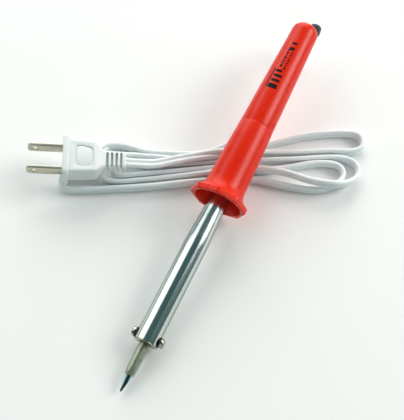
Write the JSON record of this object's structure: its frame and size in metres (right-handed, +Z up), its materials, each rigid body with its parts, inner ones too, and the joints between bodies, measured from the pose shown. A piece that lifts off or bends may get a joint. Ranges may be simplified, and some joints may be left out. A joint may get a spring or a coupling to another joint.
{
  "type": "soldering iron",
  "caption": "Pencil soldering iron with a slim steel heater barrel, a tapered handle with an octagonal guard, and a flat twin lead in a loose hank ending in a two-blade plug.",
  "frame": {"origin": "centre of the iron's own footprint, on the table it is put down on; the cord and plug are left out of it", "axes": "+Y from the bit to the rear of the handle, +Z up from the table, +X to the right seen from the rear; the iron leans up 7.5 degrees towards its rear, as it lies on its barrel's end ring and on the hank"},
  "size_m": [0.1574, 0.221, 0.0372],
  "materials": {
    "red_plastic": "satin moulded plastic",
    "chrome_steel": "bright plated steel",
    "ring_nickel": "warm nickel plating",
    "bit_plating": "dull nickel plating, heat tinted at the cone",
    "screw_steel": "plated screw heads",
    "washer_dark": "blackened steel",
    "inner_steel": "plain steel",
    "mica": "mica paper",
    "resistance_wire": "oxidised resistance wire",
    "ceramic": "unglazed ceramic",
    "sleeving": "woven glass sleeving",
    "copper": "bare copper",
    "clamp_fibre": "hard fibre board",
    "cord_pvc": "soft white PVC",
    "sleeve_rubber": "soft black rubber",
    "plug_pvc": "satin white PVC",
    "bridge_plastic": "stiff insert",
    "blade_plating": "nickel-plated brass blades"
  },
  "bodies": {
    "iron": {"barrel": "chrome_steel", "barrel_end_ring": "ring_nickel", "bit_holder": "inner_steel", "inner_mica": "mica", "heating_coil": "resistance_wire", "outer_mica": "mica", "rear_ceramic": "ceramic", "heater_leads": "resistance_wire", "lead_sleeves": "sleeving", "splice_caps": "ceramic", "cord_cores": "copper", "inner_cord": "cord_pvc", "cord_clamp": "clamp_fibre", "cord_clamp_screws": "screw_steel", "clamp_washer": "inner_steel", "front_guard": "red_plastic", "rear_grip": "red_plastic", "strain_relief": "sleeve_rubber", "power_cord": "cord_pvc", "plug_body": "plug_pvc", "plug_bridge": "bridge_plastic", "plug_blades": "blade_plating", "blade_crimps": "blade_plating"},
    "bit": {"soldering_bit": "bit_plating"},
    "left_washer_body": {"left_washer": "washer_dark"},
    "left_screw_body": {"left_screw": "screw_steel"},
    "right_washer_body": {"right_washer": "washer_dark"},
    "right_screw_body": {"right_screw": "screw_steel"}
  },
  "joints": [
    {"name": "bit_slide", "type": "slide", "parent": "iron", "child": "bit", "axis": [0, -0.9914, -0.1305], "range_m": [0, 0.045]},
    {"name": "left_washer_slide", "type": "slide", "parent": "iron", "child": "left_washer_body", "axis": [-1, 0, 0], "range_m": [0, 0.0015]},
    {"name": "left_screw_turn", "type": "hinge", "parent": "left_washer_body", "child": "left_screw_body", "pos_m": [0, -0.07892, 0.00651], "axis": [-1, 0, 0], "range_deg": [0, 1080]},
    {"name": "right_washer_slide", "type": "slide", "parent": "iron", "child": "right_washer_body", "axis": [1, 0, 0], "range_m": [0, 0.0015]},
    {"name": "right_screw_turn", "type": "hinge", "parent": "right_washer_body", "child": "right_screw_body", "pos_m": [0, -0.07892, 0.00651], "axis": [1, 0, 0], "range_deg": [0, 1080]}
  ],
  "couplings": [
    {"joint": "left_screw_turn", "follows": "left_washer_slide", "rad_per_m": 12566},
    {"joint": "right_screw_turn", "follows": "right_washer_slide", "rad_per_m": 12566}
  ]
}
